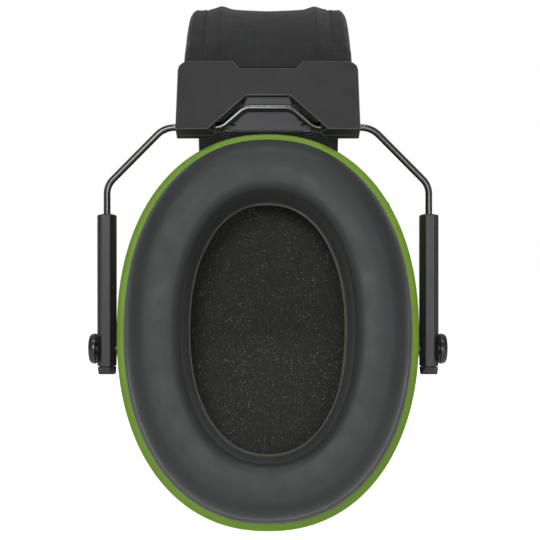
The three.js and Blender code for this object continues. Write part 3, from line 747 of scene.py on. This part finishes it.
def build_stitching():
    """Two rows of lockstitches along each edge of the band's outer face."""
    pitch, reach = 2.7, radians(47)
    count = int(2 * reach * BAND_RADIUS / pitch) + 1
    verts, faces = [], []
    for seam in (*SEAMS, *(-x for x in SEAMS)):
        for k in range(count):
            start = len(verts)
            more_verts, more_faces = stitch(seam, k * pitch / BAND_RADIUS - reach)
            verts += more_verts
            faces += [[start + v for v in face] for face in more_faces]
    stitching = make("headband_stitching", (verts, faces), sharp=60)
    fit(stitching, "headband", "band_fabric", finish="stitch")


# ---- ear cups ------------------------------------------------------------------------------------
def build_shell(side):
    """The bowl: a flat oval panel framed by a groove, and sides that round over to the rim."""
    wide, tall = HALF_WIDTH * PANEL_SHARE[0], HALF_HEIGHT * PANEL_SHARE[1]
    groove = ((0.45, 0), (0.8, 0), (0.84, 0.1), (0.87, 0.55), (0.91, 0.6), (0.94, 0.15), (0.97, 0))
    rim, rim_in = RING_BACK - 0.3, 2
    rings = [[(0, -BACK, RISE)]]
    rings += [oval(0, BACK + sunk, (wide * share, tall * share)) for share, sunk in groove]
    path = [(HALF_WIDTH * w, HALF_HEIGHT * t, BACK + over) for w, t, over in BOWL_FORM]
    path.append((HALF_WIDTH - rim_in, HALF_HEIGHT - rim_in, rim - 0.5))
    for half_width, half_height, depth in curve_through(path, 5):
        rings.append(oval(0, depth, (half_width, half_height)))
    rings += [oval(rim_in + 0.35, rim), oval(rim_in + WALL - 0.3, rim), oval(rim_in + WALL, rim - 0.3)]
    for w, t, over in ((0.915, 0.935, 13), (0.83, 0.865, 6.6), (0.66, 0.72, 3.3)):
        rings.append(oval(0, BACK + over, (HALF_WIDTH * w - WALL, HALF_HEIGHT * t - WALL)))
    rings.append([(0, -(BACK + WALL), RISE)])
    shell = make(f"{side}_bowl", loft(rings))
    boss = [(0, 37.5), (2.9, 37.5), (3.1, 37.7), *[(3.1, 37.7 + 0.7 * k) for k in range(1, 8)],
            (3.1, 43.2), (2.8, 43.5), (0, 43.5)]
    for way in (1, -1):
        along_x = Matrix.Rotation(way * pi / 2, 4, "Y")
        combine(shell, make("boss", turned(boss, 40), along_x), "UNION")
    bore = turned([(0, -60), (1.9, -60), (1.9, 60), (0, 60)], 40)
    combine(shell, make("bore", bore, Matrix.Rotation(pi / 2, 4, "Y")), "DIFFERENCE")
    shell.data.transform(cup_matrix(side))
    fit(shell, f"{side}_cup", "shell_plastic", f"{side}_cup_shell")


def build_ring(side):
    """The bright ring round the rim, rounded outside and with a small chamfer at its inner front edge.
    """
    back, front, width, edge = RING_BACK, RING_FRONT, 5.4, 1.25
    section = [(width, back), (edge + 0.8, back)]
    section += arc((edge, back + edge), edge, 270, 180, 5)
    section += arc((edge, front - edge), edge, 180, 90, 6)
    section += [(width - 0.2, front), (width, front - 0.2)]
    rings = [oval(by, depth) for by, depth in section]
    ring = make(f"{side}_trim_ring", loft(rings, looped=True), cup_matrix(side), sharp=50)
    fit(ring, f"{side}_cup", "green_plastic", f"{side}_cup_ring")


def build_plate(side):
    """The thin plate under the cushion, with a beaded lip round the ear opening, pale in places with
    painted highlights.
    """
    back, thick, outer = PLATE_BACK, 1.6, PLATE_EDGE
    inner = CUSHION_INNER + CUSHION_FLARE
    bead, bead_steps = 0.2, 8
    section = [(outer, back + 0.3), (outer + 0.3, back), (inner - 1, back)]
    before_bead = len(section)
    section += arc((inner + 0.35, back + thick - bead), bead, 250, 450, bead_steps)
    section += [(inner - 0.7, back + thick), (outer + 0.3, back + thick), (outer, back + thick - 0.3)]
    rings = [oval(by, depth) for by, depth in section]
    plate = make(f"{side}_backing_plate", loft(rings, looped=True), cup_matrix(side), sharp=50)
    fit(plate, f"{side}_cup", "inner_plastic", f"{side}_cushion_plate")
    plate.data.materials.append(FINISHES["plate_lip_painted_highlight"].material)
    for i in range(before_bead * OVAL_POINTS, (before_bead + bead_steps) * OVAL_POINTS):
        plate.data.polygons[i].material_index = 1


def build_pins(side):
    """Round-headed pins, each with a domed edge and a shallow dimple."""
    shank, head, head_depth, dome = 1.6, 4.4, 2.3, 1.4
    for end, way in ENDS.items():
        node = f"{side}_{end}_pivot_pin"
        low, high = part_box(node)
        start, reach = sorted((abs(low.x) / MM, abs(high.x) / MM))
        seat = reach - head_depth
        profile = [(0, start), (shank - 0.3, start), (shank, start + 0.3), (shank, seat)]
        profile += [(head - 0.25, seat), (head, seat + 0.25), (head, seat + 0.8)]
        profile += arc((head - dome, reach - dome - 0.1), dome, 0, 78, 7)
        profile += [(1.9, reach), (1.6, reach - 0.1), (1.2, reach - 0.45), (0, reach - 0.5)]
        turn = Matrix.Rotation(way * pi / 2, 4, "Y")
        place = Matrix.Translation((0, SIDES[side] * PIVOT_SIDE * MM, 0))
        pin = make(f"{node}_finished", turned(profile, 56), place @ turn)
        fit(pin, f"{side}_cup", "pin_plastic", node)


# ---- yokes, sliders and clips ----------------------------------------------------------------------
def bent_path(corners, steps):
    """Points and directions along straight runs joined by round bends, in one plane."""
    stops = []
    for i, (at, bend) in enumerate(corners):
        at = Vector(at)
        if not bend:
            other = Vector(corners[i + 1][0] if i == 0 else corners[i - 1][0])
            along = (other - at if i == 0 else at - other).normalized()
            stops.append((at, along))
            continue
        arrive = (at - Vector(corners[i - 1][0])).normalized()
        leave = (Vector(corners[i + 1][0]) - at).normalized()
        turn = acos(max(-1, min(1, arrive.dot(leave))))
        inward = (leave - arrive * leave.dot(arrive)).normalized()
        start = at - arrive * bend * tan(turn / 2)
        for k in range(steps + 1):
            a = turn * k / steps
            stops.append((start + arrive * bend * sin(a) + inward * bend * (1 - cos(a)),
                          arrive * cos(a) + inward * sin(a)))
    return stops


def build_yoke(side):
    """The bent wire, round in section and closed by flat ends, with its crank in the middle."""
    way = SIDES[side]
    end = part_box(f"{side}_yoke_wire")[0].z / MM
    crank_bend, shoulder_bend, leg_bend = 4.5, 7, 6
    half = [((LEG_X, end), 0), ((LEG_X, LEG_TOP), leg_bend), ((SHOULDER_X, YOKE_TOP), shoulder_bend),
            ((CRANK_FOOT, YOKE_TOP), crank_bend), ((CRANK_HEAD, YOKE_TOP + CRANK_RISE), crank_bend)]
    stops = bent_path(half + [((-x, z), bend) for (x, z), bend in reversed(half)], 14)
    path = []
    for (point, along), (after, _) in zip(stops, stops[1:]):
        pieces = max(1, int((after - point).length / 4))
        path += [(point.lerp(after, k / pieces), along) for k in range(pieces)]
    path.append(stops[-1])
    rings = []
    for point, along in path:
        side_on = Vector((-along.y, along.x))
        ring = []
        for across, out in arc((0, 0), WIRE_RADIUS, 0, 345, 23):
            spot = point + side_on * across
            ring.append((spot.x, way * PIVOT_SIDE + out, spot.y))
        rings.append(ring)
    first, last = ([(point.x, way * PIVOT_SIDE, point.y)] for point, _ in (path[0], path[-1]))
    wire = make(f"{side}_bent_wire", loft([first, *rings, last]), sharp=50)
    fit(wire, f"{side}_yoke", "black_wire", f"{side}_yoke_wire")


def build_sliders(side):
    """The tubes with softened edges, their plugs, and the collars in their mouths."""
    for end in ENDS:
        name = f"{side}_{end}_slider"
        fit(refined(name, 0.28), f"{side}_sliders", "slider_plastic", name)
        plug = f"{name}_plug"
        fit(refined(plug, 0.25), f"{side}_sliders", "slider_plastic", plug)
        low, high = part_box(f"{name}_bush")
        centre = (low + high) / 2
        bottom, top = low.z / MM, high.z / MM
        inner, outer = 1.2, 1.75
        profile = [(inner, bottom), (outer, bottom), (outer, top - 0.2), (outer - 0.15, top),
                   (inner + 0.1, top), (inner, top - 0.15)]
        place = Matrix.Translation((centre.x, centre.y, 0))
        bush = make(f"{name}_collar", turned(profile, 40), place)
        fit(bush, f"{side}_sliders", "inner_plastic", f"{name}_bush")
        repaint(f"{side}_{end}_wire_sleeve", "inner_plastic")


def recess_panel(way):
    """A thin glossy panel on the recess's floor, behind the wire, with softened edges; its pale
    grey-violet colour is a painted reflection.
    """
    floor, proud, bevel = 60.72, 0.16, 0.08
    low, high = 63.35, 72.75
    top_half, top_z, slope = 5.9, 72.9, -0.45
    rings = []
    for shrink, out in ((0, 0), (0, proud - bevel), (bevel, proud)):
        corners = ((1, low + shrink), (1, high - shrink), (-1, high - shrink), (-1, low + shrink))
        ring = []
        for sign, z in corners:
            half = top_half + slope * (z - top_z) - shrink
            ring.append((sign * half, way * (floor + out), z))
        rings.append(ring)
    middle = (low + high) / 2
    return loft([[(0, way * floor, middle)], *rings, [(0, way * (floor + proud), middle)]])


def build_clip(side):
    """Both halves of a clip, the panel in its recess and the two screws that hold the halves."""
    way = SIDES[side]
    for part, width in (("cover", 0.5), ("base", 0.3)):
        node = f"{side}_clip_{part}"
        fit(refined(node, width), "headband", "clip_plastic", node)
    inlay = make(f"{side}_clip_inlay", recess_panel(way), sharp=30)
    fit(inlay, "headband", "clip_plastic", finish="clip_panel")
    profile = [(0, 1.6), (0.7, 1.6), (0.9, 1.8), (0.9, 6.3), (1.75, 6.3), (1.9, 6.45), (1.9, 7.15),
               (1.7, 7.4), (1.0, 7.4), (0.85, 7.25), (0.8, 6.7), (0, 6.6)]
    for end, end_way in ENDS.items():
        node = f"{side}_{end}_clip_screw"
        spot = Matrix.Translation((-way * end_way * SCREW_X * MM, 0, SCREW_Z * MM))
        to_y = spot @ Matrix.Rotation(-pi / 2, 4, "X")
        screw = make(f"{node}_finished", turned(profile, 40), clip_matrix(side) @ to_y)
        fit(screw, "headband", "screw_steel", node)


# ---- camera, light and stage -----------------------------------------------------------------------
def build_camera():
    """Level and straight in front of the turned-over cup."""
    data = bpy.data.cameras.new("camera")
    data.sensor_width, data.lens = 36, CAMERA_LENS
    data.clip_start = 0.01
    camera = bpy.data.objects.new("camera", data)
    bpy.context.scene.collection.objects.link(camera)
    camera.location = CAMERA_PLACE
    camera.rotation_euler = (pi / 2, 0, 0)
    bpy.context.scene.camera = camera


def area_light(name, place, size, power):
    data = bpy.data.lights.new(name, "AREA")
    data.shape = "RECTANGLE"
    data.size, data.size_y = size
    data.energy = power
    light = bpy.data.objects.new(name, data)
    bpy.context.scene.collection.objects.link(light)
    light.location = place
    light.rotation_euler = (Vector(LIGHT_TARGET) - Vector(place)).to_track_quat("-Z", "Y").to_euler()
    return light


def build_floor():
    """A pale floor, plain white to the camera, with a painted contact shadow close to the object."""
    low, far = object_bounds()[0][2] / MM - 1, 4000
    verts = [(x * far, y * far, low) for x, y in ((-1, -1), (1, -1), (1, 1), (-1, 1))]
    floor = make("floor", (verts, [[0, 1, 2, 3]]))
    pale = Finish("pale_floor", (0.5, 0.5, 0.495), 0.8)
    pale.shader.inputs["Emission Color"].default_value = (1, 1, 0.99, 1)
    rays = pale.node("LightPath").outputs
    mirrored = pale.math("MULTIPLY", rays["Is Glossy Ray"], 0.6)
    seen = pale.math("ADD", rays["Is Camera Ray"], mirrored)
    # Ambient occlusion dims the floor's glow near the object: a painted contact shadow.
    near = pale.node("AmbientOcclusion", Distance=0.05).outputs["AO"]
    glow = pale.math("MULTIPLY", pale.spread(seen, 0, 1, 0.05, 1), pale.spread(near, 0, 1, 0.7, 0.98))
    pale.plug(pale.shader, "Emission Strength", glow)
    floor.data.materials.append(pale.material)


def build_world():
    """White to the camera, dimmer in reflections, and dim as a light."""
    in_light, in_gloss, to_camera = 0.08, 0.31, 1.0
    world = bpy.data.worlds.new("studio")
    bpy.context.scene.world = world
    world.use_nodes = True
    nodes, links = world.node_tree.nodes, world.node_tree.links
    glow = nodes["Background"]
    glow.inputs["Color"].default_value = (1, 1, 1, 1)
    rays = nodes.new("ShaderNodeLightPath").outputs
    gloss, camera = nodes.new("ShaderNodeMix"), nodes.new("ShaderNodeMix")
    links.new(rays["Is Glossy Ray"], gloss.inputs["Factor"])
    gloss.inputs["A"].default_value = in_light
    gloss.inputs["B"].default_value = in_gloss
    links.new(rays["Is Camera Ray"], camera.inputs["Factor"])
    links.new(gloss.outputs["Result"], camera.inputs["A"])
    camera.inputs["B"].default_value = to_camera
    links.new(camera.outputs["Result"], glow.inputs["Strength"])


def build_studio():
    """The floor, the lights and the world. The back lights make no highlights of their own."""
    build_floor()
    for name, (place, size, power) in LIGHTS.items():
        light = area_light(name, place, size, power)
        light.visible_glossy = not name.startswith("back")
    build_world()
    bpy.context.scene.view_settings.view_transform = "Standard"


build_camera()
build_studio()
for side in SIDES:
    build_shell(side)
    build_ring(side)
    build_liner(side)
    build_plate(side)
    build_cushion(side)
    build_pins(side)
    build_yoke(side)
    build_sliders(side)
    build_clip(side)
build_band()
build_stitching()
repaint("headband_spring", "spring_steel")
